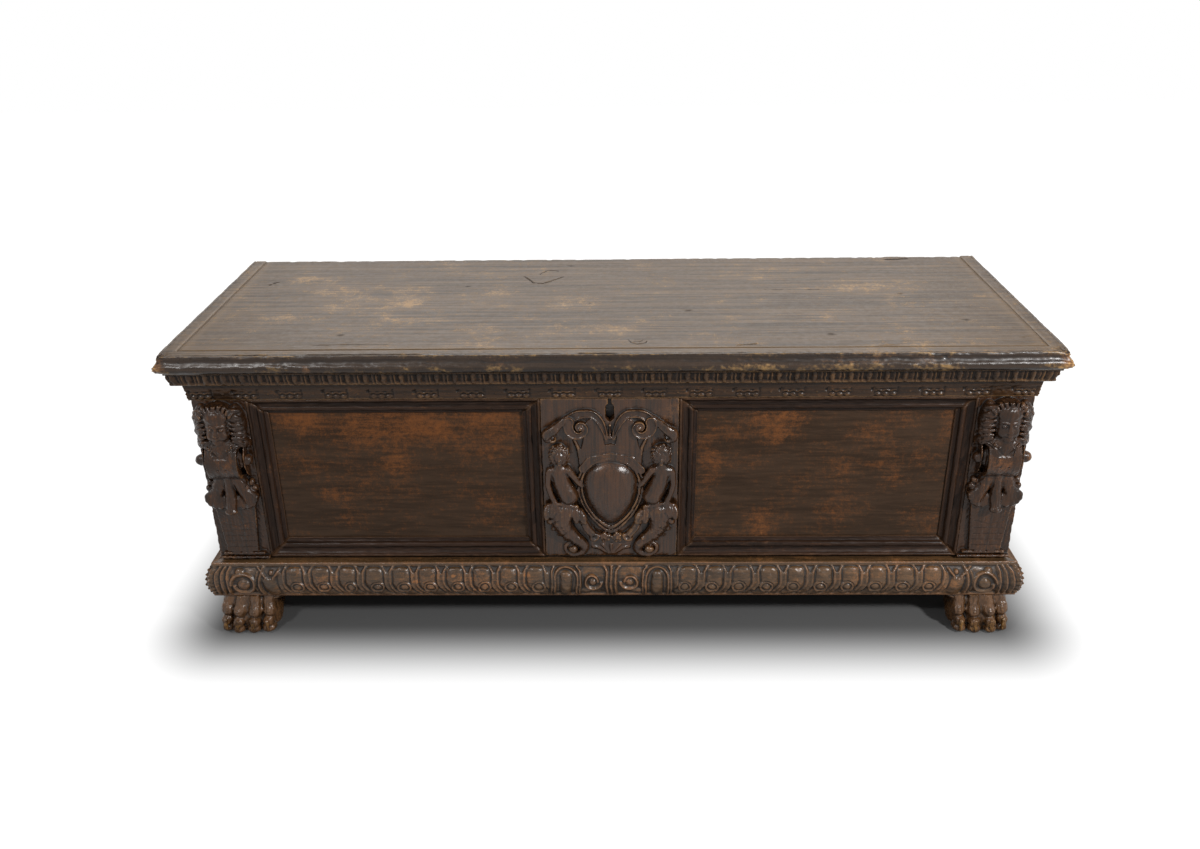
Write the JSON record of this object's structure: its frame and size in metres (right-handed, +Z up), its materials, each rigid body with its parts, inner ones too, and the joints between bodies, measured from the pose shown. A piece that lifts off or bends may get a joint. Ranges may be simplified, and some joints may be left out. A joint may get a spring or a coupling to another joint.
{
  "type": "cassone",
  "caption": "Carved walnut chest with hinged lid, fluted cornice, sunk front panels, corner herms, central cartouche, carved torus base, iron lock and lion-paw feet.",
  "frame": {"origin": "on the floor, under the middle of the whole width and depth, hinge knuckles included", "axes": "+X to the right and -Y out of the carved front as one stands before the chest, +Z up"},
  "size_m": [1.7, 0.5874, 0.635],
  "materials": {
    "walnut_lid": "old wax, worn and scratched",
    "walnut_case": "dark stained walnut, worn to orange in patches",
    "walnut_moulding": "dark waxed walnut",
    "walnut_carved": "carved walnut, near black in the hollows, polished brown on the ridges",
    "poplar_board": "unfinished sawn poplar, darkened by age",
    "wrought_iron": "forged iron with a dark brown patina"
  },
  "bodies": {
    "case": {"back_board": "poplar_board", "base_front": "walnut_carved", "base_left": "walnut_carved", "base_right": "walnut_carved", "bolt_keepers": "wrought_iron", "cartouche_block": "walnut_carved", "drill_pin": "wrought_iron", "floor_board": "poplar_board", "foot_dowels": "poplar_board", "frieze_front": "walnut_carved", "frieze_left": "walnut_carved", "frieze_right": "walnut_carved", "front_board": "walnut_case", "herm_left": "walnut_carved", "herm_right": "walnut_carved", "hinge_leaf_left": "wrought_iron", "hinge_leaf_right": "wrought_iron", "hinge_pin_left": "wrought_iron", "hinge_pin_right": "wrought_iron", "leaf_nails": "wrought_iron", "left_frame_bottom": "walnut_moulding", "left_frame_inner": "walnut_moulding", "left_frame_outer": "walnut_moulding", "left_frame_top": "walnut_moulding", "lock_case": "wrought_iron", "lock_nails": "wrought_iron", "lock_plate": "wrought_iron", "lock_spring": "wrought_iron", "paw_back_left": "walnut_carved", "paw_back_right": "walnut_carved", "paw_front_left": "walnut_carved", "paw_front_right": "walnut_carved", "right_frame_bottom": "walnut_moulding", "right_frame_inner": "walnut_moulding", "right_frame_outer": "walnut_moulding", "right_frame_top": "walnut_moulding", "side_board_left": "walnut_case", "side_board_right": "walnut_case"},
    "lid": {"batten_left": "poplar_board", "batten_nails": "wrought_iron", "batten_right": "poplar_board", "cornice_front": "walnut_carved", "cornice_left": "walnut_carved", "cornice_right": "walnut_carved", "hinge_strap_left": "wrought_iron", "hinge_strap_right": "wrought_iron", "lid_board": "walnut_lid", "lid_staple": "wrought_iron", "nosing_front": "walnut_lid", "nosing_left": "walnut_lid", "nosing_right": "walnut_lid", "staple_nails": "wrought_iron", "strap_nails": "wrought_iron"},
    "bolt": {"lock_bolt": "wrought_iron"}
  },
  "joints": [
    {"name": "lid_hinge", "type": "hinge", "parent": "case", "child": "lid", "pos_m": [0, 0.2877, 0.599], "axis": [-1, 0, 0], "range_deg": [0, 100]},
    {"name": "bolt_slide", "type": "slide", "parent": "case", "child": "bolt", "axis": [1, 0, 0], "range_m": [0, 0.016]}
  ]
}
